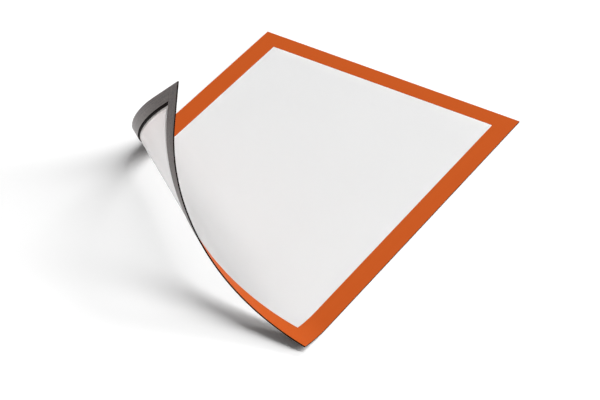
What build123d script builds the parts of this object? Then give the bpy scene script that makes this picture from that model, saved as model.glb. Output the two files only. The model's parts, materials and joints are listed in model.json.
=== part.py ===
from build123d import *
import math
import os

# Magnetic photo frame: a clear film with a coloured border on its front and
# magnetic strips on its back. It lies on a table with one corner rolled up.
# Millimetres, +Z up, the strips' flat back faces at Z = 0, the panel's centre at X = Y = 0.
# The short edges run along X. The rolled corner is the one at -X, -Y.

# Sheet of paper that the frame is made for
PAPER_WIDTH = 210.0
PAPER_LENGTH = 297.0
PAPER_CLEARANCE = 1.0

# Panel, seen from the front
STRIP_WIDTH = 12.0
BORDER_WIDTH = 16.0
PANEL_WIDTH = PAPER_WIDTH + 2 * (PAPER_CLEARANCE + STRIP_WIDTH)
PANEL_LENGTH = PAPER_LENGTH + 2 * (PAPER_CLEARANCE + STRIP_WIDTH)

# Layers, from the back face to the front
STRIP_THICKNESS = 0.75
FILM_THICKNESS = 0.25
BORDER_THICKNESS = 0.10
FILM_BACK = STRIP_THICKNESS
BORDER_BACK = FILM_BACK + FILM_THICKNESS

# Rolled corner. The first fold runs from the left edge to the right edge, and the last
# from the left edge to the bottom edge. Each is placed by where it meets those edges,
# measured from the bottom corner on that edge. Every fold turns by the same angle, and the
# step from one to the next widens by a share of the fan towards the tip, which is straighter.
FOLD_COUNT = 10
FOLD_ANGLE = 12.0
FOLD_GAP = 0.5
FIRST_FOLD_LEFT = 171.0
FIRST_FOLD_RIGHT = 22.0
LAST_FOLD_LEFT = 47.0
LAST_FOLD_BOTTOM = 45.0
FAN_WIDENING = 0.09

# All folds fan out from one apex, where the lines of the first and the last fold meet
FIRST_FOLD_SLOPE = (FIRST_FOLD_LEFT - FIRST_FOLD_RIGHT) / PANEL_WIDTH
LAST_FOLD_SLOPE = LAST_FOLD_LEFT / LAST_FOLD_BOTTOM
APEX_BEYOND_EDGE = (FIRST_FOLD_LEFT - LAST_FOLD_LEFT) / (LAST_FOLD_SLOPE - FIRST_FOLD_SLOPE)
APEX_ABOVE_CORNER = FIRST_FOLD_LEFT + FIRST_FOLD_SLOPE * APEX_BEYOND_EDGE

# The film doesn't stretch, so the folds turn about its middle
FOLD_HEIGHT = FILM_BACK + FILM_THICKNESS / 2
APEX = Vector(-PANEL_WIDTH / 2 - APEX_BEYOND_EDGE, APEX_ABOVE_CORNER - PANEL_LENGTH / 2, FOLD_HEIGHT)
UP = Vector(0, 0, 1)


def fan_angle(fold: int) -> float:
    """Angle in radians of a fold below +X, for folds counted from 1 at the flat side."""
    first = math.atan(FIRST_FOLD_SLOPE)
    last = math.atan(LAST_FOLD_SLOPE)
    share = (fold - 1) / (FOLD_COUNT - 1)
    return first + (last - first) * ((1 - FAN_WIDENING) * share + FAN_WIDENING * share**3)


def fold_axis(fold: int) -> Axis:
    """Axis of a fold in the flat panel. It points at the apex, so a positive turn lifts the corner."""
    angle = fan_angle(fold)
    return Axis(APEX, Vector(-math.cos(angle), math.sin(angle), 0))


def fold_cut(fold: int, lean: float) -> Plane:
    """Plane beside a fold, half the gap from it, facing the tip.

    It leans by half a fold, so that the two sides of the gap stand parallel once the
    panel is rolled: lean is -1 for the side next to the flat panel and 1 for the tip's side.
    """
    angle = fan_angle(fold)
    towards_tip = Vector(-math.sin(angle), -math.cos(angle), 0)
    half_fold = math.radians(FOLD_ANGLE / 2)
    facing = towards_tip * math.cos(half_fold) - UP * (lean * math.sin(half_fold))
    return Plane(origin=APEX + facing * (lean * FOLD_GAP / 2), z_dir=facing)


def plate(width: float, length: float, bottom: float, thickness: float, x: float = 0.0, y: float = 0.0) -> Part:
    """A flat layer of the panel, centred on x, y, with its underside at a height."""
    return Pos(x, y, bottom + thickness / 2) * Box(width, length, thickness)


def film_layer() -> Part:
    """The clear film, as large as the panel."""
    return plate(PANEL_WIDTH, PANEL_LENGTH, FILM_BACK, FILM_THICKNESS)


def border_layer() -> Part:
    """The coloured border on the film's front, open over the window."""
    sheet = plate(PANEL_WIDTH, PANEL_LENGTH, BORDER_BACK, BORDER_THICKNESS)
    window = plate(
        PANEL_WIDTH - 2 * BORDER_WIDTH, PANEL_LENGTH - 2 * BORDER_WIDTH, BORDER_BACK, BORDER_THICKNESS
    )
    return sheet - window


def short_strip(side: int) -> Part:
    """Magnetic strip along a whole short edge: side is 1 at the top and -1 at the bottom."""
    y = side * (PANEL_LENGTH - STRIP_WIDTH) / 2
    return plate(PANEL_WIDTH, STRIP_WIDTH, 0, STRIP_THICKNESS, y=y)


def long_strip(side: int) -> Part:
    """Magnetic strip along a long edge, between the short ones: side is 1 at the right."""
    x = side * (PANEL_WIDTH - STRIP_WIDTH) / 2
    return plate(STRIP_WIDTH, PANEL_LENGTH - 2 * STRIP_WIDTH, 0, STRIP_THICKNESS, x=x)


def between_folds(layer: Part, band: int) -> list[Solid]:
    """Solids of a layer in one band: 0 is the flat panel, and each later band is past one more fold."""
    piece = layer
    if band > 0:
        piece = split(piece, bisect_by=fold_cut(band, 1), keep=Keep.TOP)
    if piece and band < FOLD_COUNT:
        piece = split(piece, bisect_by=fold_cut(band + 1, -1), keep=Keep.BOTTOM)
    solids = piece.solids() if piece else []
    return sorted(solids, key=lambda solid: (solid.center() - APEX).length)


def rolled(solid: Solid, band: int) -> Solid:
    """A solid of the flat panel, turned up by every fold before its band."""
    for fold in range(band, 0, -1):
        solid = solid.rotate(fold_axis(fold), FOLD_ANGLE)
    return solid


def node_names(layer: str, band: int, count: int) -> list[str]:
    """Names for the solids of a layer in one band, the one nearest the rolled edge first."""
    place = f"{layer}_band_{band:02d}" if band else f"{layer}_flat"
    if count == 1:
        return [place]
    return [f"{place}_left", f"{place}_right"]


LAYERS = {
    "film": film_layer(),
    "border": border_layer(),
    "strip_top": short_strip(1),
    "strip_bottom": short_strip(-1),
    "strip_left": long_strip(-1),
    "strip_right": long_strip(1),
}

os.makedirs("parts", exist_ok=True)
for layer_name, layer in LAYERS.items():
    for band in range(FOLD_COUNT + 1):
        solids = between_folds(layer, band)
        for node, solid in zip(node_names(layer_name, band, len(solids)), solids):
            export_step(rolled(solid, band), f"parts/{node}.step")
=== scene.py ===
"""Magnetic photo frame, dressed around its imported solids.

The frame is one flexible panel: a frosted film, an orange border on its front and magnetic strips
on its back. It lies on a table with one corner rolled up. The solids hold that roll as ten stiff
bands. Here every layer is cut flat, once for each fold, and rolled smoothly by one node tree.
"""

from __future__ import annotations

import json
import logging
import math
from dataclasses import dataclass
from enum import Enum

import bmesh
import bpy
from mathutils import Matrix, Quaternion, Vector

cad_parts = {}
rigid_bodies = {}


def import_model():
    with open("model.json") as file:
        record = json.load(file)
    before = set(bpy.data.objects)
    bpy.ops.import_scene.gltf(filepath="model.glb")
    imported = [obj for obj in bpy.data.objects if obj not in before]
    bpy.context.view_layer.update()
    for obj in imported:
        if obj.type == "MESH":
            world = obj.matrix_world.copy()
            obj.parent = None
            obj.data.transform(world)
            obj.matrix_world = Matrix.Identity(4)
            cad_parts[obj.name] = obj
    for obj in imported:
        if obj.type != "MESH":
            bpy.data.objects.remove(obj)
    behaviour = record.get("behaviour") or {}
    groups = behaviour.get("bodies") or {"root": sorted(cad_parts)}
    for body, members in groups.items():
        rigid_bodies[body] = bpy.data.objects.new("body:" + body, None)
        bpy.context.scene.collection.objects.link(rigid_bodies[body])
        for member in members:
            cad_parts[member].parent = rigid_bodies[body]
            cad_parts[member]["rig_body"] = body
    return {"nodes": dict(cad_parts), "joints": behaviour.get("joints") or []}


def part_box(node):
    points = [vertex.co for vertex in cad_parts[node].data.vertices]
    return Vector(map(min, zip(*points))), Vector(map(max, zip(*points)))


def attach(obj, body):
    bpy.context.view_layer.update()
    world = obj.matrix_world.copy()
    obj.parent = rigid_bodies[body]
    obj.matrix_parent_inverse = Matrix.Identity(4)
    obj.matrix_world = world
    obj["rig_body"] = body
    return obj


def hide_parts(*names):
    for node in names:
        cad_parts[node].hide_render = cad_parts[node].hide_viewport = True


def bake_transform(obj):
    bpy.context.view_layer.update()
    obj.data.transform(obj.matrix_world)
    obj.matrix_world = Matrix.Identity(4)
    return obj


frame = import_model()

MM = 0.001
MICRON = 1e-6
LOG = logging.getLogger("photo_frame")

# A light path counts its bounces in whole numbers, so a count is compared with a half between two of them
NONE_OR_ONE = 0.5
ONE_OR_TWO = 1.5

Rgba = tuple[float, float, float, float]


def linear(colour: str) -> Rgba:
    """Turns an sRGB hex colour into linear light.

    Args:
        colour: Six hex digits after a hash.

    Returns:
        Red, green, blue and an alpha of 1, as a shader's colour socket takes them.
    """
    channels = [int(colour[i : i + 2], 16) / 255 for i in (1, 3, 5)]
    red, green, blue = (c / 12.92 if c <= 0.04045 else ((c + 0.055) / 1.055) ** 2.4 for c in channels)
    return red, green, blue, 1.0


def pattern_scale(size_mm: float) -> float:
    """Texture scale of a pattern whose features have a real size in millimetres."""
    return 1 / (size_mm * MM)


def add(tree: bpy.types.NodeTree, kind: str, wires: dict | None = None, **settings: object) -> bpy.types.Node:
    """Adds a node to a tree, with its settings and what goes into its sockets.

    Args:
        tree: Tree of a material, a world or a geometry modifier.
        kind: Blender's name for the node's type.
        wires: For a socket's name or number, a node whose first output is linked, an output socket
            to link, or a plain value.
        **settings: Properties of the node itself.

    Returns:
        The new node.
    """
    node = tree.nodes.new(kind)
    for name, value in settings.items():
        setattr(node, name, value)
    for socket, source in (wires or {}).items():
        if isinstance(source, bpy.types.Node):
            source = source.outputs[0]
        if isinstance(source, bpy.types.NodeSocket):
            tree.links.new(source, node.inputs[socket])
        else:
            node.inputs[socket].default_value = source
    return node


class Ends(Enum):
    """How a piece ends where the next piece of the same layer carries on."""

    CLOSED = "closed"
    OPEN = "open"


class Grain(Enum):
    """Which way a layer's pattern runs on the flat panel."""

    ALONG_WIDTH = "along_width"
    ALONG_LENGTH = "along_length"


@dataclass(frozen=True)
class FrostedFilm:
    """Soft clear PVC film, calendered against a matt roll so that it doesn't glare.

    The fine emboss scatters what shines through: what touches the film shows, what stands behind
    it melts into a pale haze, and the film's own shadow is only a grey veil.
    """

    name: str = "pvc_film_matt_calendered"
    colour: str = "#fdfdfd"
    ior: float = 1.53
    transmission: float = 1.0
    roughness: tuple[float, float] = (0.5, 0.58)
    # Share of the light that each face of the film keeps from the table below it
    veil: float = 0.1
    # The same for the bare table beside it, where light meets the film squarely and where it grazes it
    veil_square: float = 0.05
    veil_grazing: float = 1.0
    # How far light slants, from 0 to 1, where its loss begins to rise and where it would be full
    slant: tuple[float, float] = (0.1, 1.1)
    thickness_mm: float = 0.25
    # A ray that starts inside the film leaves it within this many thicknesses
    inside: float = 2.8
    # The real emboss is about 0.1 mm from peak to peak. It is drawn coarser, so that it shows.
    grain_mm: float = 0.9
    grain_height_mm: float = 0.008
    cloud_mm: float = 60.0

    def make(self) -> bpy.types.Material:
        """Builds the material.

        Returns:
            A frosted, see-through material whose pattern follows the flat sheet.
        """
        material = bpy.data.materials.new(self.name)
        material.use_nodes = True
        tree = material.node_tree
        shader = tree.nodes["Principled BSDF"]
        sheet = add(tree, "ShaderNodeUVMap", uv_map="sheet")
        clouds = {"Vector": sheet, "Scale": pattern_scale(self.cloud_mm), "Detail": 2.0}
        cloud = add(tree, "ShaderNodeTexNoise", clouds)
        low, high = self.roughness
        gloss = add(tree, "ShaderNodeMapRange", {"Value": cloud, "To Min": low, "To Max": high})
        grains = {"Vector": sheet, "Scale": pattern_scale(self.grain_mm), "Detail": 3.0}
        grain = add(tree, "ShaderNodeTexNoise", grains)
        emboss = add(tree, "ShaderNodeBump", {"Height": grain, "Distance": self.grain_height_mm * MM})
        shader.inputs["IOR"].default_value = self.ior
        shader.inputs["Transmission Weight"].default_value = self.transmission
        path = add(tree, "ShaderNodeLightPath").outputs
        # Light on its way to the table goes straight on and is only dimmed, unless it starts in the film
        within = self.inside * self.thickness_mm * MM
        outside = add(tree, "ShaderNodeMath", {0: path["Ray Length"], 1: within}, operation="GREATER_THAN")
        shadow = add(tree, "ShaderNodeMath", {0: path["Is Shadow Ray"], 1: outside}, operation="MULTIPLY")
        depth = {0: path["Diffuse Depth"], 1: NONE_OR_ONE}
        bounced = add(tree, "ShaderNodeMath", depth, operation="GREATER_THAN")
        passing = add(tree, "ShaderNodeMath", {0: shadow, 1: bounced}, operation="MAXIMUM")
        # What has come through one sheet of the film isn't clouded again by the sheet behind it
        sheets = {0: path["Transmission Depth"], 1: ONE_OR_TWO}
        first = add(tree, "ShaderNodeMath", sheets, operation="LESS_THAN")
        # Grazing light is turned away at the film's faces, so its shadow has a white middle and a grey rim
        facing = add(tree, "ShaderNodeLayerWeight", {"Blend": 0.5}).outputs["Facing"]
        square, grazing = self.slant
        loss = {"Value": facing, "From Min": square, "From Max": grazing}
        loss |= {"To Min": self.veil_square, "To Max": self.veil_grazing}
        rim = add(tree, "ShaderNodeMapRange", loss, interpolation_type="SMOOTHSTEP")
        dimmed = add(tree, "ShaderNodeMapRange", {"Value": first, "To Min": self.veil, "To Max": rim})
        veil = add(tree, "ShaderNodeMapRange", {"Value": passing, "To Min": first, "To Max": dimmed})
        # Passing light is dimmed by the veil alone, so it takes no colour from the film
        tint = add(tree, "ShaderNodeValToRGB", {"Fac": passing})
        tint.color_ramp.elements[0].color = linear(self.colour)
        tint.color_ramp.elements[1].color = linear("#000000")
        tree.links.new(tint.outputs[0], shader.inputs["Base Color"])
        tree.links.new(veil.outputs[0], shader.inputs["Alpha"])
        tree.links.new(gloss.outputs[0], shader.inputs["Roughness"])
        tree.links.new(emboss.outputs[0], shader.inputs["Normal"])
        return material


@dataclass(frozen=True)
class PrintedVinyl:
    """Soft PVC, printed in one colour and laminated: an even satin skin with a faint leathery grain.

    The ink lies a touch unevenly, and the grain breaks up the highlight so that no sharp light shows.
    """

    name: str
    colour: str
    thin_ink: str
    roughness: float = 0.5
    ior: float = 1.53
    specular: float = 0.03
    # Real grain is about 0.2 mm across. It is drawn coarser, so that it shows.
    grain_mm: float = 0.8
    grain_height_mm: float = 0.010
    cloud_mm: float = 25.0

    def make(self) -> bpy.types.Material:
        """Builds the material.

        Returns:
            A satin material whose print and grain follow the flat sheet.
        """
        material = bpy.data.materials.new(self.name)
        material.use_nodes = True
        tree = material.node_tree
        shader = tree.nodes["Principled BSDF"]
        sheet = add(tree, "ShaderNodeUVMap", uv_map="sheet")
        clouds = {"Vector": sheet, "Scale": pattern_scale(self.cloud_mm), "Detail": 4.0}
        cloud = add(tree, "ShaderNodeTexNoise", clouds)
        ink = add(tree, "ShaderNodeValToRGB", {"Fac": cloud})
        ink.color_ramp.elements[0].color = linear(self.colour)
        ink.color_ramp.elements[1].color = linear(self.thin_ink)
        cells = {"Vector": sheet, "Scale": pattern_scale(self.grain_mm)}
        grain = add(tree, "ShaderNodeTexVoronoi", cells, feature="SMOOTH_F1")
        leather = add(tree, "ShaderNodeBump", {"Height": grain, "Distance": self.grain_height_mm * MM})
        shader.inputs["Roughness"].default_value = self.roughness
        shader.inputs["IOR"].default_value = self.ior
        shader.inputs["Specular IOR Level"].default_value = self.specular
        tree.links.new(ink.outputs[0], shader.inputs["Base Color"])
        tree.links.new(leather.outputs[0], shader.inputs["Normal"])
        return material


@dataclass(frozen=True)
class MagneticRubber:
    """Flexible magnet: ferrite powder in rubber, extruded as a flat strip.

    The face is dark grey and matt with fine die lines along its length, and turns silvery where it
    is seen at a low angle. Made near black, rougher and duller, it also serves as the cut edges.
    """

    name: str
    colour: str
    dusty: str
    roughness: float = 0.32
    ior: float = 1.5
    specular: float = 0.5
    # Real die lines are about 0.1 mm apart. They are drawn coarser, so that they show.
    line_mm: float = 0.8
    line_height_mm: float = 0.02
    speckle_mm: float = 1.5
    # How many times longer than wide a die line is
    stretch: float = 40.0
    # Sum of the two patterns where the powder shows least and most
    faintest: float = 0.75
    strongest: float = 1.25

    def make(self) -> bpy.types.Material:
        """Builds the material.

        Returns:
            A dark, matt material with lines along the strip.
        """
        material = bpy.data.materials.new(self.name)
        material.use_nodes = True
        tree = material.node_tree
        shader = tree.nodes["Principled BSDF"]
        strip = add(tree, "ShaderNodeUVMap", uv_map="sheet")
        drawn = add(tree, "ShaderNodeMapping", {"Vector": strip, "Scale": (1 / self.stretch, 1.0, 1.0)})
        scratches = {"Vector": drawn, "Scale": pattern_scale(self.line_mm), "Detail": 3.0}
        lines = add(tree, "ShaderNodeTexNoise", scratches)
        specks = {"Vector": strip, "Scale": pattern_scale(self.speckle_mm), "Detail": 4.0}
        speckle = add(tree, "ShaderNodeTexNoise", specks)
        dust = add(tree, "ShaderNodeMath", {0: lines, 1: speckle}, operation="ADD")
        streaks = {"Value": dust, "From Min": self.faintest, "From Max": self.strongest}
        powder = add(tree, "ShaderNodeValToRGB", {"Fac": add(tree, "ShaderNodeMapRange", streaks)})
        powder.color_ramp.elements[0].color = linear(self.colour)
        powder.color_ramp.elements[1].color = linear(self.dusty)
        die_lines = add(tree, "ShaderNodeBump", {"Height": lines, "Distance": self.line_height_mm * MM})
        shader.inputs["Roughness"].default_value = self.roughness
        shader.inputs["IOR"].default_value = self.ior
        shader.inputs["Specular IOR Level"].default_value = self.specular
        tree.links.new(powder.outputs[0], shader.inputs["Base Color"])
        tree.links.new(die_lines.outputs[0], shader.inputs["Normal"])
        return material


@dataclass(frozen=True)
class Finish:
    """Materials of one layer: its front face, its back face and its cut edges."""

    slot: str
    front: bpy.types.Material
    back: bpy.types.Material
    edge: bpy.types.Material


@dataclass(frozen=True)
class CornerRoll:
    """The rule of the rolled corner, read from the folds between the solid bands.

    All folds lie on lines that fan out from one apex beside the panel. A place in the fan is
    counted in folds. The roll starts half a fold before the first and ends half a fold after the
    last, and it turns by the same angle from each fold to the next.
    """

    apex: Vector
    bearings: tuple[float, ...]
    widening: float
    turn: float
    bodies: tuple[str, ...]
    hinges: tuple[Vector, ...]
    # Small folds that stand for one fold
    steps: int = 12
    # Share of the room around a fold that the bend across it takes up
    blend_share: float = 0.98

    @classmethod
    def from_joints(cls, joints: list[dict]) -> CornerRoll:
        """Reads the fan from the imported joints.

        Args:
            joints: The folds in order. Each can turn back just far enough to lie flat.

        Returns:
            The roll that those folds make.
        """
        turn = math.radians(-joints[0]["range_deg"][0])
        hinges = tuple(Vector(j["pos_m"]) for j in joints)
        axes = [Vector(j["axis"]).normalized() for j in joints]
        apart = hinges[-1] - hinges[0]
        lean = axes[0].dot(axes[-1])
        reach = (apart.dot(axes[0]) - apart.dot(axes[-1]) * lean) / (1 - lean**2)
        bearings = []
        rolled = Matrix.Identity(3)
        for axis in axes:
            flat = rolled.inverted() @ axis
            bearings.append(math.atan2(flat.y, -flat.x))
            rolled = rolled @ Matrix.Rotation(turn, 3, flat)
        middle = len(joints) // 2
        share = middle / (len(joints) - 1)
        passed = (bearings[middle] - bearings[0]) / (bearings[-1] - bearings[0])
        return cls(
            apex=hinges[0] + axes[0] * reach,
            bearings=tuple(bearings),
            widening=(share - passed) / (share - share**3),
            turn=turn,
            bodies=(joints[0]["parent"], *(j["child"] for j in joints)),
            hinges=hinges,
        )

    @property
    def folds(self) -> int:
        """How many folds there are."""
        return len(self.bearings)

    def bearing(self, place: float) -> float:
        """Angle below +X of the fan's line at a place.

        Args:
            place: 1 is the first fold, and a half lies midway between two folds.

        Returns:
            The angle in radians.
        """
        share = (place - 1) / (self.folds - 1)
        spread = self.bearings[-1] - self.bearings[0]
        return self.bearings[0] + spread * ((1 - self.widening) * share + self.widening * share**3)

    def axis(self, place: float) -> Vector:
        """Direction of the flat fan's line at a place, pointing at the apex."""
        return Vector((-math.cos(self.bearing(place)), math.sin(self.bearing(place)), 0))

    def across(self, place: float) -> Vector:
        """Direction square to the flat fan's line at a place, pointing at the tip."""
        return Vector((-math.sin(self.bearing(place)), -math.cos(self.bearing(place)), 0))

    def crossing(self, fold: int, left: float) -> tuple[Vector, Vector]:
        """Where a layer starts and stops bending across a fold.

        Args:
            fold: Number of the fold, from 1.
            left: X of the panel's left edge, where the fan is narrowest.

        Returns:
            A point on each side of the fold, on the rolled panel.
        """
        reach = (left - self.apex.x) / math.cos(self.bearing(fold))
        here = self.bearing(fold)
        narrow = min(here - self.bearing(fold - 0.5), self.bearing(fold + 0.5) - here)
        half = self.blend_share * reach * math.sin(narrow)
        rolled = Matrix.Identity(3)
        for earlier in range(1, fold):
            rolled = rolled @ Matrix.Rotation(self.turn, 3, self.axis(earlier))
        rolled = rolled @ Matrix.Rotation(self.turn / 2, 3, self.axis(fold))
        to_tip = rolled @ self.across(fold) * half
        return self.hinges[fold - 1] - to_tip, self.hinges[fold - 1] + to_tip


class RollTree:
    """Node tree that rolls a flat layer up about the lines of the fan."""

    INPUTS = (
        ("Apex", "NodeSocketVector"),
        ("First bearing", "NodeSocketFloat"),
        ("Spread", "NodeSocketFloat"),
        ("Widening", "NodeSocketFloat"),
        ("Folds", "NodeSocketInt"),
        ("Steps per fold", "NodeSocketInt"),
        ("Turn per fold", "NodeSocketFloat"),
        ("Front", "NodeSocketMaterial"),
        ("Back", "NodeSocketMaterial"),
        ("Edge", "NodeSocketMaterial"),
    )
    # Edges that turn by more than this stay crisp
    SHARP = math.radians(15)
    # A flat face is the front where its normal rises by more than this, and the back where it falls by more
    FACED = 0.5

    def __init__(self) -> None:
        """Builds the tree once, for all layers."""
        self.tree = bpy.data.node_groups.new("rolled_corner", "GeometryNodeTree")
        sockets = self.tree.interface
        sockets.new_socket("Geometry", in_out="INPUT", socket_type="NodeSocketGeometry")
        self.identifiers: dict[str, str] = {}
        for name, kind in self.INPUTS:
            socket = sockets.new_socket(name, in_out="INPUT", socket_type=kind)
            self.identifiers[name] = socket.identifier
        sockets.new_socket("Geometry", in_out="OUTPUT", socket_type="NodeSocketGeometry")
        self.given = self.tree.nodes.new("NodeGroupInput").outputs
        self.finish(self.roll(self.note()))

    def note(self) -> bpy.types.Node:
        """Notes how the flat layer lies: each point's bearing and the way each face looks.

        Returns:
            The node that gives the flat layer with its notes.
        """
        tree = self.tree
        position = add(tree, "GeometryNodeInputPosition")
        place = add(tree, "ShaderNodeVectorMath", {0: position, 1: self.given["Apex"]}, operation="SUBTRACT")
        parts = add(tree, "ShaderNodeSeparateXYZ", {"Vector": place}).outputs
        down = add(tree, "ShaderNodeMath", {0: parts["Y"], 1: -1.0}, operation="MULTIPLY")
        bearing = add(tree, "ShaderNodeMath", {0: down, 1: parts["X"]}, operation="ARCTAN2")
        where = {"Geometry": self.given["Geometry"], "Name": "bearing", "Value": bearing}
        placed = add(tree, "GeometryNodeStoreNamedAttribute", where, domain="POINT")
        normal = add(tree, "GeometryNodeInputNormal")
        upward = add(tree, "ShaderNodeSeparateXYZ", {"Vector": normal}).outputs["Z"]
        way = {"Geometry": placed, "Name": "facing", "Value": upward}
        return add(tree, "GeometryNodeStoreNamedAttribute", way, domain="FACE")

    def roll(self, flat: bpy.types.Node) -> bpy.types.Node:
        """Turns what lies beyond each small fold, from the tip's side to the flat side.

        Args:
            flat: The node that gives the flat layer with its notes.

        Returns:
            The node that gives the rolled layer.
        """
        tree, given = self.tree, self.given
        counts = {0: given["Folds"], 1: given["Steps per fold"]}
        total = add(tree, "ShaderNodeMath", counts, operation="MULTIPLY")
        begin = tree.nodes.new("GeometryNodeRepeatInput")
        end = tree.nodes.new("GeometryNodeRepeatOutput")
        begin.pair_with_output(end)
        end.repeat_items.new("FLOAT", "Left to do")
        tree.links.new(total.outputs[0], begin.inputs["Iterations"])
        tree.links.new(flat.outputs[0], begin.inputs["Geometry"])
        tree.links.new(total.outputs[0], begin.inputs["Left to do"])
        left = begin.outputs["Left to do"]
        # Share of the fan that this small fold has reached, then the bearing of its line
        middle = add(tree, "ShaderNodeMath", {0: left, 1: 0.5}, operation="SUBTRACT")
        place = add(tree, "ShaderNodeMath", {0: middle, 1: given["Steps per fold"]}, operation="DIVIDE")
        after_first = add(tree, "ShaderNodeMath", {0: place, 1: 0.5}, operation="SUBTRACT")
        gaps = add(tree, "ShaderNodeMath", {0: given["Folds"], 1: 1.0}, operation="SUBTRACT")
        share = add(tree, "ShaderNodeMath", {0: after_first, 1: gaps}, operation="DIVIDE")
        square = add(tree, "ShaderNodeMath", {0: share, 1: share}, operation="MULTIPLY")
        cube = add(tree, "ShaderNodeMath", {0: square, 1: share}, operation="MULTIPLY")
        bend = add(tree, "ShaderNodeMath", {0: cube, 1: share}, operation="SUBTRACT")
        widened = {0: bend, 1: given["Widening"], 2: share}
        eased = add(tree, "ShaderNodeMath", widened, operation="MULTIPLY_ADD")
        fanned = {0: eased, 1: given["Spread"], 2: given["First bearing"]}
        line = add(tree, "ShaderNodeMath", fanned, operation="MULTIPLY_ADD")
        cosine = add(tree, "ShaderNodeMath", {0: line}, operation="COSINE")
        west = add(tree, "ShaderNodeMath", {0: cosine, 1: -1.0}, operation="MULTIPLY")
        north = add(tree, "ShaderNodeMath", {0: line}, operation="SINE")
        axis = add(tree, "ShaderNodeCombineXYZ", {"X": west, "Y": north})
        small = {0: given["Turn per fold"], 1: given["Steps per fold"]}
        angle = add(tree, "ShaderNodeMath", small, operation="DIVIDE")
        position = add(tree, "GeometryNodeInputPosition")
        about = {"Vector": position, "Center": given["Apex"], "Axis": axis, "Angle": angle}
        turned = add(tree, "ShaderNodeVectorRotate", about, rotation_type="AXIS_ANGLE")
        bearing = add(tree, "GeometryNodeInputNamedAttribute", {"Name": "bearing"})
        beyond = add(tree, "ShaderNodeMath", {0: bearing, 1: line}, operation="GREATER_THAN")
        moved = {"Geometry": begin.outputs["Geometry"], "Selection": beyond, "Position": turned}
        lifted = add(tree, "GeometryNodeSetPosition", moved)
        fewer = add(tree, "ShaderNodeMath", {0: left, 1: 1.0}, operation="SUBTRACT")
        tree.links.new(lifted.outputs[0], end.inputs["Geometry"])
        tree.links.new(fewer.outputs[0], end.inputs["Left to do"])
        return end

    def finish(self, rolled: bpy.types.Node) -> None:
        """Shades the rolled layer and gives each face its material.

        Args:
            rolled: The node that gives the rolled layer.
        """
        tree, given = self.tree, self.given
        real = add(tree, "GeometryNodeRealizeInstances", {"Geometry": rolled})
        smooth = add(tree, "GeometryNodeSetShadeSmooth", {"Geometry": real}, domain="FACE")
        angle = add(tree, "GeometryNodeInputMeshEdgeAngle")
        sharp = add(tree, "ShaderNodeMath", {0: angle, 1: self.SHARP}, operation="GREATER_THAN")
        corners = {"Geometry": smooth, "Selection": sharp, "Shade Smooth": False}
        crisp = add(tree, "GeometryNodeSetShadeSmooth", corners, domain="EDGE")
        facing = add(tree, "GeometryNodeInputNamedAttribute", {"Name": "facing"})
        ahead = add(tree, "ShaderNodeMath", {0: facing, 1: self.FACED}, operation="GREATER_THAN")
        behind = add(tree, "ShaderNodeMath", {0: facing, 1: -self.FACED}, operation="LESS_THAN")
        dressed = add(tree, "GeometryNodeSetMaterial", {"Geometry": crisp, "Material": given["Edge"]})
        for side, faces in (("Front", ahead), ("Back", behind)):
            chosen = {"Geometry": dressed, "Selection": faces, "Material": given[side]}
            dressed = add(tree, "GeometryNodeSetMaterial", chosen)
        add(tree, "NodeGroupOutput", {"Geometry": dressed})

    def apply(self, piece: bpy.types.Object, roll: CornerRoll, finish: Finish) -> None:
        """Rolls a flat piece and keeps the result as its plain mesh.

        Args:
            piece: Object whose mesh is the flat, cut piece.
            roll: The rule of the rolled corner.
            finish: Materials for its faces.
        """
        values = {
            "Apex": roll.apex,
            "First bearing": roll.bearings[0],
            "Spread": roll.bearings[-1] - roll.bearings[0],
            "Widening": roll.widening,
            "Folds": roll.folds,
            "Steps per fold": roll.steps,
            "Turn per fold": roll.turn,
            "Front": finish.front,
            "Back": finish.back,
            "Edge": finish.edge,
        }
        modifier = piece.modifiers.new("roll", "NODES")
        modifier.node_group = self.tree
        for name, value in values.items():
            modifier[self.identifiers[name]] = value
        graph = bpy.context.evaluated_depsgraph_get()
        mesh = bpy.data.meshes.new_from_object(piece.evaluated_get(graph))
        piece.modifiers.remove(modifier)
        flat, piece.data = piece.data, mesh
        bpy.data.meshes.remove(flat)
        mesh.name = piece.name
        for note in ("bearing", "facing"):
            mesh.attributes.remove(mesh.attributes[note])


@dataclass(frozen=True)
class SheetGrid:
    """Lines along the panel's edges at each layer's inner edge, shared so that all layers bend alike."""

    half_width: float
    half_length: float
    insets: tuple[float, ...]
    # Decimals of a metre to which a line is rounded, so that layers that share it agree
    digits: int = 7

    def lines(self, half: float, low: float, high: float) -> list[float]:
        """The lines that cross a layer in one direction.

        Args:
            half: Half the panel's size in that direction.
            low: The layer's lower edge.
            high: The layer's upper edge.

        Returns:
            Both edges and the lines between them, in order.
        """
        slack = 10**-self.digits
        marks = {round(side * (half - inset), self.digits) for inset in self.insets for side in (-1, 1)}
        marks |= {round(low, self.digits), round(high, self.digits)}
        return sorted(m for m in marks if low - slack < m < high + slack)


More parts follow.
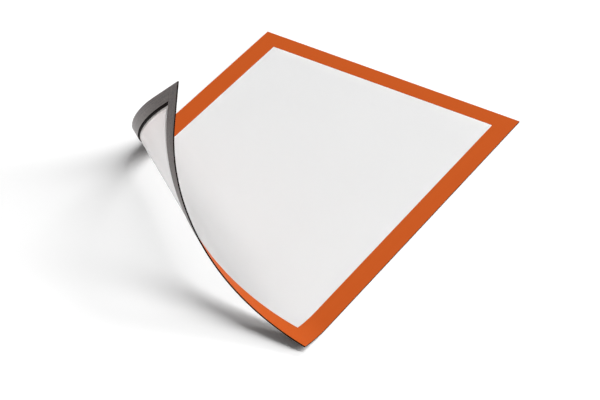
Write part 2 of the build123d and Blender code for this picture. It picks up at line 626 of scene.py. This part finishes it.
@dataclass
class Layer:
    """One layer of the panel, cut flat into a piece for each fold and then rolled."""

    name: str
    grid: SheetGrid
    across: tuple[float, float]
    along: tuple[float, float]
    bottom: float
    top: float
    finish: Finish
    ends: Ends = Ends.CLOSED
    grain: Grain = Grain.ALONG_WIDTH
    rounding: float = 0.0
    # Half the width and half the length of the opening in its middle
    opening: tuple[float, float] = (0.0, 0.0)

    def plate(self) -> bmesh.types.BMesh:
        """The whole layer, flat and uncut.

        Returns:
            A closed mesh over the panel's grid.
        """
        mesh = bmesh.new()
        columns = self.grid.lines(self.grid.half_width, *self.across)
        rows = self.grid.lines(self.grid.half_length, *self.along)
        corners = [[mesh.verts.new((x, y, self.bottom)) for x in columns] for y in rows]
        for j in range(len(rows) - 1):
            for i in range(len(columns) - 1):
                middle = abs(columns[i] + columns[i + 1]) / 2, abs(rows[j] + rows[j + 1]) / 2
                if middle[0] >= self.opening[0] or middle[1] >= self.opening[1]:
                    near, far = corners[j], corners[j + 1]
                    mesh.faces.new((near[i], far[i], far[i + 1], near[i + 1]))
        raised = bmesh.ops.extrude_face_region(mesh, geom=mesh.faces[:], use_keep_orig=True)["geom"]
        points = {v for v in raised if isinstance(v, bmesh.types.BMVert)}
        bmesh.ops.translate(mesh, vec=(0, 0, self.top - self.bottom), verts=list(points))
        bmesh.ops.recalc_face_normals(mesh, faces=mesh.faces[:])
        if self.rounding:
            below = [e for e in mesh.edges if points.isdisjoint(e.verts)]
            rims = [e for e in below if e.calc_face_angle() > RollTree.SHARP]
            bmesh.ops.bevel(mesh, geom=rims, offset=self.rounding, segments=2, profile=0.5, affect="EDGES")
        return mesh

    def cut(self, roll: CornerRoll, fold: int) -> bpy.types.Mesh | None:
        """The flat piece that bends across one fold, cut along the fan's lines.

        Args:
            roll: The rule of the rolled corner.
            fold: Number of the fold. The first piece holds the flat panel too.

        Returns:
            The cut mesh, or None where the layer has nothing there.
        """
        mesh = self.plate()

        def slice_at(place: float, **keep: bool) -> None:
            """Cuts the mesh along the fan's line at a place.

            Args:
                place: Counted in folds, as for a bearing.
                **keep: Which side of the line is cleared, if any.
            """
            geometry = [*mesh.verts, *mesh.edges, *mesh.faces]
            line = {"plane_co": roll.apex, "plane_no": roll.across(place)}
            bmesh.ops.bisect_plane(mesh, geom=geometry, dist=MICRON, **line, **keep)

        if fold > 1:
            slice_at(fold - 0.5, clear_inner=True)
        if fold < roll.folds:
            slice_at(fold + 0.5, clear_outer=True)
        if not mesh.faces:
            mesh.free()
            return None
        if self.ends is Ends.CLOSED:
            bmesh.ops.holes_fill(mesh, edges=[e for e in mesh.edges if e.is_boundary])
        first = 0 if fold == 1 else 1
        last = roll.steps if fold == roll.folds else roll.steps - 1
        for step in range(first, last + 1):
            slice_at(fold - 0.5 + step / roll.steps)
        sheet = mesh.loops.layers.uv.new("sheet")
        for face in mesh.faces:
            for loop in face.loops:
                x, y, _ = loop.vert.co
                loop[sheet].uv = (x, y) if self.grain is Grain.ALONG_WIDTH else (y, x)
        result = bpy.data.meshes.new(self.name)
        mesh.to_mesh(result)
        mesh.free()
        return result

    def build(self, roll: CornerRoll, tree: RollTree) -> None:
        """Makes the layer's pieces and rolls them. A piece rides on a body only where its layer's solids all
        end before its fold.

        Args:
            roll: The rule of the rolled corner.
            tree: The node tree that rolls a flat piece.
        """
        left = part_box("film_flat")[0].x
        waiting = {n: o["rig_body"] for n, o in frame["nodes"].items() if n.startswith(f"{self.name}_")}
        for fold in range(1, roll.folds + 1):
            mesh = self.cut(roll, fold)
            if mesh is None:
                continue
            piece = bpy.data.objects.new(f"{self.name}_roll_{fold:02d}", mesh)
            bpy.context.scene.collection.objects.link(piece)
            tree.apply(piece, roll, self.finish)
            before, after = roll.bodies[fold - 1 : fold + 1]
            # A layer whose solids all end before this fold only rides along
            if set(waiting.values()) == {before}:
                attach(piece, before)
            else:
                start, end = roll.crossing(fold, left)
                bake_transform(piece)
            stood_for = [n for n, body in waiting.items() if roll.bodies.index(body) <= fold]
            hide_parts(*stood_for)
            for node in stood_for:
                del waiting[node]
            solids = ", ".join(stood_for) or "no solid"
            LOG.info("%s: %d faces, for %s", piece.name, len(piece.data.polygons), solids)


@dataclass
class Panel:
    """The whole frame: its layers' sizes, their finishes and how they are stacked."""

    half_width: float
    half_length: float
    strip_width: float
    film_back: float
    film_front: float
    border_front: float
    border_width: float = 16 * MM
    strip_rounding: float = 0.2 * MM
    # Width and thickness of the near-black sheet under the long strips, which paints the shade beside their
    # walls
    shade_band_width: float = 14.4 * MM
    shade_sheet_thickness: float = 0.03 * MM
    # Coat that keeps the film clear of the border and of the near-black sheet under the long strips
    glue: float = 0.01 * MM

    @classmethod
    def from_solids(cls) -> Panel:
        """Reads the panel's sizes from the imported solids.

        Returns:
            The panel, as wide, long and thick as the solids of its flat part.
        """
        film, top_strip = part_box("film_flat"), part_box("strip_top_flat")
        return cls(
            half_width=film[1].x,
            half_length=film[1].y,
            strip_width=top_strip[1].y - top_strip[0].y,
            film_back=film[0].z,
            film_front=film[1].z,
            border_front=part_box("border_flat")[1].z,
        )

    def finishes(self) -> tuple[Finish, Finish, Finish, Finish]:
        """Makes the materials.

        Returns:
            Finishes of the film, the border, the strips and the near-black sheet under the long ones, which
            paints shade.
        """
        film = FrostedFilm().make()
        orange = PrintedVinyl("pvc_border_orange_printed", "#c65922", "#c35620").make()
        unprinted = PrintedVinyl("pvc_border_back_unprinted", "#fbece4", "#f6e4da").make()
        rubber = MagneticRubber("magnetic_rubber_extruded", "#382a27", "#6e5a54").make()
        # Cut edges of every layer share one near-black material: on the rubber it is partly the rubber's own
        # dark and partly painted shade, and on the film and the border it is painted shade where the edges
        # face away from the light
        bare = {"roughness": 0.7, "specular": 0.05}
        edge_shade = MagneticRubber("magnetic_rubber_slit_edge", "#0e0908", "#150f0d", **bare).make()
        # Near-black sheet under the long strips, darker than the rubber: painted shade beside their walls
        shade_sheet = PrintedVinyl("pvc_tape_dark_coated", "#1f1614", "#1a1210").make()
        return (
            Finish("film", film, film, edge_shade),
            Finish("border", orange, unprinted, edge_shade),
            Finish("magnet", rubber, rubber, edge_shade),
            Finish("magnet", shade_sheet, shade_sheet, shade_sheet),
        )

    def layers(self) -> list[Layer]:
        """The six pieces of the real frame and a near-black sheet under its long strips, which paints the
        shade beside them.

        Returns:
            Strips, tape, film and border, flat and stacked from the table up.
        """
        film, border, magnet, painted_shade_finish = self.finishes()
        insets = (self.strip_width, self.shade_band_width, self.border_width)
        grid = SheetGrid(self.half_width, self.half_length, insets)
        wide, long = (-self.half_width, self.half_width), (-self.half_length, self.half_length)
        between = (long[0] + self.strip_width, long[1] - self.strip_width)
        strip = {"bottom": 0.0, "top": self.film_back, "finish": magnet, "rounding": self.strip_rounding}
        side = {**strip, "grain": Grain.ALONG_LENGTH}
        # A near-black sheet, a little wider than each long strip, lies under it: painted shade that shows as
        # a dark line beside the strip's wall
        under = self.film_back - self.glue
        shade_sheet = {"bottom": under - self.shade_sheet_thickness, "top": under, "finish": painted_shade_finish}
        window = (self.half_width - self.border_width, self.half_length - self.border_width)
        printed = {"bottom": self.film_front + self.glue, "top": self.border_front, "finish": border}
        return [
            Layer("strip_top", grid, wide, (between[1], long[1]), **strip),
            Layer("strip_bottom", grid, wide, (long[0], between[0]), **strip),
            Layer("strip_left", grid, (wide[0], wide[0] + self.strip_width), between, **side),
            Layer("strip_right", grid, (wide[1] - self.strip_width, wide[1]), between, **side),
            Layer("tape_left", grid, (wide[0], wide[0] + self.shade_band_width), between, **shade_sheet),
            Layer("tape_right", grid, (wide[1] - self.shade_band_width, wide[1]), between, **shade_sheet),
            Layer("film", grid, wide, long, self.film_back, self.film_front, film, ends=Ends.OPEN),
            Layer("border", grid, wide, long, **printed, opening=window),
        ]

    def build(self) -> None:
        """Cuts, rolls and dresses every layer."""
        roll = CornerRoll.from_joints(frame["joints"])
        tree = RollTree()
        for layer in self.layers():
            layer.build(roll, tree)
        # The flat border lies on the film. Its shadow would show through it as a dark line around the window.
        bpy.data.objects["border_roll_01"].visible_shadow = False


@dataclass(frozen=True)
class SoftLamp:
    """A soft box that faces the middle of the panel."""

    name: str
    power: float
    towards: tuple[float, float, float]
    width: float
    height: float
    distance: float = 10.0

    def build(self) -> None:
        """Hangs the lamp."""
        lamp = bpy.data.lights.new(self.name, "AREA")
        lamp.shape = "RECTANGLE"
        lamp.size, lamp.size_y = self.width, self.height
        lamp.energy = self.power
        holder = bpy.data.objects.new(self.name, lamp)
        away = Vector(self.towards).normalized()
        holder.location = away * self.distance
        holder.rotation_euler = away.to_track_quat("Z", "Y").to_euler()
        holder.visible_camera = False
        bpy.context.scene.collection.objects.link(holder)


@dataclass
class Studio:
    """White table, soft sky, one tall soft lamp on the right and a weak wide one behind."""

    floor_half: float = 4.0
    floor_drop: float = 0.1 * MM
    # Whiteness of the table to light that bounces on, through the film or in gloss, and to the camera
    floor_bounce: float = 0.85
    floor_behind: float = 1.04
    floor_shown: float = 1.07
    # Strength of the sky that lights the frame. To the camera it is plain white.
    sky: float = 0.18
    # Reflections show a sky that is bright overhead and dies away at these heights above the horizon
    sky_overhead: float = 1.25
    sky_fades: tuple[float, float] = (0.2, 0.65)
    lamps: tuple[SoftLamp, ...] = (
        SoftLamp("tall_lamp", power=1180.0, towards=(0.807, 0.398, 1.05), width=2.0, height=13.2),
        SoftLamp("fill_lamp", power=208.0, towards=(0.166, 1.18, 1.0), width=4.8, height=1.6),
    )

    def shown(self, tree: bpy.types.NodeTree) -> bpy.types.Node:
        """Tells what the picture shows from what only sends light on.

        Args:
            tree: Tree of the table's or the sky's shader.

        Returns:
            A node that gives 1 to the camera, to reflections and through the film, and 0 to
            light that has already left a matt surface.
        """
        path = add(tree, "ShaderNodeLightPath").outputs
        rays = {0: path["Is Camera Ray"], 1: path["Is Glossy Ray"]}
        direct = add(tree, "ShaderNodeMath", rays, operation="MAXIMUM")
        seen = add(tree, "ShaderNodeMath", {0: direct, 1: path["Is Transmission Ray"]}, operation="MAXIMUM")
        depth = {0: path["Diffuse Depth"], 1: NONE_OR_ONE}
        first = add(tree, "ShaderNodeMath", depth, operation="LESS_THAN")
        return add(tree, "ShaderNodeMath", {0: seen, 1: first}, operation="MULTIPLY")

    def floor(self) -> None:
        """Lays the table, which shows white but keeps the frame's shadow."""
        mesh = bpy.data.meshes.new("table")
        far, low = self.floor_half, -self.floor_drop
        corners = [(-far, -far, low), (far, -far, low), (far, far, low), (-far, far, low)]
        mesh.from_pydata(corners, [], [(0, 1, 2, 3)])
        table = bpy.data.objects.new("table", mesh)
        bpy.context.scene.collection.objects.link(table)
        material = bpy.data.materials.new("white_laminate")
        material.use_nodes = True
        tree = material.node_tree
        tree.nodes.clear()
        lit = {"Value": self.shown(tree), "To Min": self.floor_bounce, "To Max": self.floor_behind}
        unseen = add(tree, "ShaderNodeMapRange", lit)
        camera = add(tree, "ShaderNodeLightPath").outputs["Is Camera Ray"]
        seen = {"Value": camera, "To Min": unseen, "To Max": self.floor_shown}
        white = add(tree, "ShaderNodeMapRange", seen)
        paint = add(tree, "ShaderNodeBsdfDiffuse", {"Color": white})
        add(tree, "ShaderNodeOutputMaterial", {"Surface": paint})
        mesh.materials.append(material)

    def light(self) -> None:
        """Sets the sky and the lamps."""
        world = bpy.data.worlds.new("studio")
        world.use_nodes = True
        tree = world.node_tree
        tree.nodes.clear()
        direction = add(tree, "ShaderNodeTexCoord").outputs["Generated"]
        height = add(tree, "ShaderNodeSeparateXYZ", {"Vector": direction}).outputs["Z"]
        low, high = self.sky_fades
        fading = {"Value": height, "From Min": low, "From Max": high, "To Max": self.sky_overhead}
        dome = add(tree, "ShaderNodeMapRange", fading, interpolation_type="SMOOTHSTEP")
        glossy = add(tree, "ShaderNodeLightPath").outputs["Is Glossy Ray"]
        mirrored = add(tree, "ShaderNodeMapRange", {"Value": glossy, "To Min": 1.0, "To Max": dome})
        seen = {"Value": self.shown(tree), "To Min": self.sky, "To Max": mirrored}
        strength = add(tree, "ShaderNodeMapRange", seen)
        sky = add(tree, "ShaderNodeBackground", {"Color": linear("#ffffff"), "Strength": strength})
        add(tree, "ShaderNodeOutputWorld", {"Surface": sky})
        bpy.context.scene.world = world
        for lamp in self.lamps:
            lamp.build()

    def build(self) -> None:
        """Sets up the table and the light, and shows colours as they are."""
        self.floor()
        self.light()
        bpy.context.scene.view_settings.view_transform = "Standard"


@dataclass
class Viewpoint:
    """Where the picture is taken from, as fitted to the panel's edges in the photograph."""

    azimuth: float = math.radians(31.797)
    elevation: float = math.radians(38.233)
    roll: float = math.radians(0.113)
    target: tuple[float, float, float] = (23.07 * MM, -14.74 * MM, 0.0)
    distance: float = 1983.42 * MM
    lens: float = 156.36

    def build(self) -> None:
        """Makes the camera."""
        flat = math.cos(self.elevation)
        back = Vector(
            (math.sin(self.azimuth) * flat, -math.cos(self.azimuth) * flat, math.sin(self.elevation))
        )
        data = bpy.data.cameras.new("camera")
        data.lens = self.lens
        camera = bpy.data.objects.new("camera", data)
        turn = back.to_track_quat("Z", "Y") @ Quaternion((0, 0, 1), self.roll)
        camera.rotation_euler = turn.to_euler()
        camera.location = Vector(self.target) + back * self.distance
        bpy.context.scene.collection.objects.link(camera)
        bpy.context.scene.camera = camera


def main() -> None:
    """Builds the camera, the frame and the studio."""
    logging.basicConfig(level=logging.INFO, format="%(name)s: %(message)s")
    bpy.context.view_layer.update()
    Viewpoint().build()
    Panel.from_solids().build()
    Studio().build()


if __name__ == "__main__":
    main()
